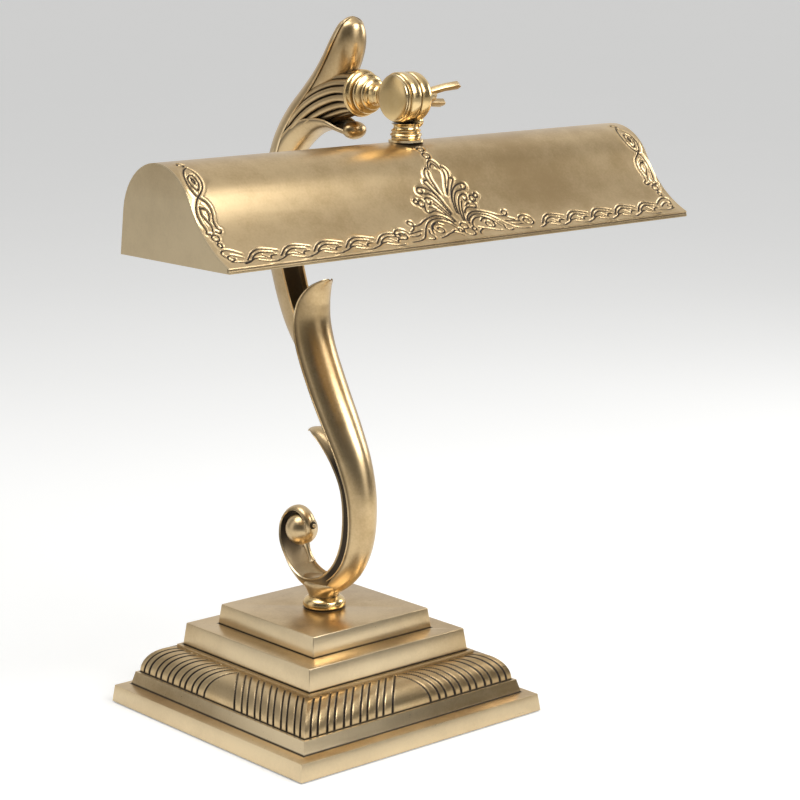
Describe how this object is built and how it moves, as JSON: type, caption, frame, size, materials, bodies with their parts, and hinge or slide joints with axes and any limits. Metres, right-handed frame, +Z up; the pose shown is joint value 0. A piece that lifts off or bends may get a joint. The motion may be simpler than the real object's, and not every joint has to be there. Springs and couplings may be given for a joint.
{
  "type": "piano lamp",
  "caption": "Brass piano lamp with a stepped square base, gadrooned course, scrolled leaf arm and a long ogee shade that tilts on a knuckle tightened by a wing nut.",
  "frame": {"origin": "centre of the felt underside, on the table, below the threaded rod's axis", "axes": "+X along the shade towards the wing nut, -Y towards the open front of the shade, +Z up"},
  "size_m": [0.362, 0.2456, 0.4499],
  "materials": {
    "antique_brass": "satin brushed, lacquered, darkened in the recesses",
    "polished_brass": "polished",
    "steel": "zinc plated",
    "felt": "felt",
    "porcelain_white": "gloss",
    "bush_black": "matte",
    "bulb_glass": "frosted"
  },
  "bodies": {
    "stand": {"base_plinth": "antique_brass", "gadrooned_course": "antique_brass", "middle_step": "antique_brass", "top_step": "antique_brass", "arm_collar": "polished_brass", "lower_arm": "antique_brass", "upper_arm": "antique_brass", "calyx_ring": "antique_brass", "knuckle_arm_half": "polished_brass", "knuckle_cap": "polished_brass", "base_cover_plate": "steel", "base_felt": "felt", "cover_screws": "steel", "clamp_bridge": "steel", "rod_washer": "steel", "rod_nut": "steel", "tie_rod": "steel", "pivot_bolt": "polished_brass", "nut_washer": "polished_brass", "cord_inlet_bush": "bush_black"},
    "shade": {"knuckle_shade_half": "polished_brass", "knuckle_washer": "bush_black", "stem_collar": "polished_brass", "shade_nipple": "steel", "nipple_nut": "steel", "lamp_bracket": "steel", "lampholder_left": "porcelain_white", "lampholder_right": "porcelain_white", "lampholder_locknuts": "steel", "bulb_cap_left": "polished_brass", "bulb_cap_right": "polished_brass", "bulb_glass_left": "bulb_glass", "bulb_glass_right": "bulb_glass", "shade_shell": "antique_brass", "end_cap_left": "antique_brass", "end_cap_right": "antique_brass"},
    "wing": {"wing_nut": "polished_brass"}
  },
  "joints": [
    {"name": "shade_tilt", "type": "hinge", "parent": "stand", "child": "shade", "pos_m": [0, -0.0812, 0.4037], "axis": [1, 0, 0], "range_deg": [-60, 15]},
    {"name": "wing_nut_turn", "type": "hinge", "parent": "stand", "child": "wing", "pos_m": [0.0244, -0.0812, 0.4037], "axis": [1, 0, 0], "range_deg": [0, 180]}
  ]
}
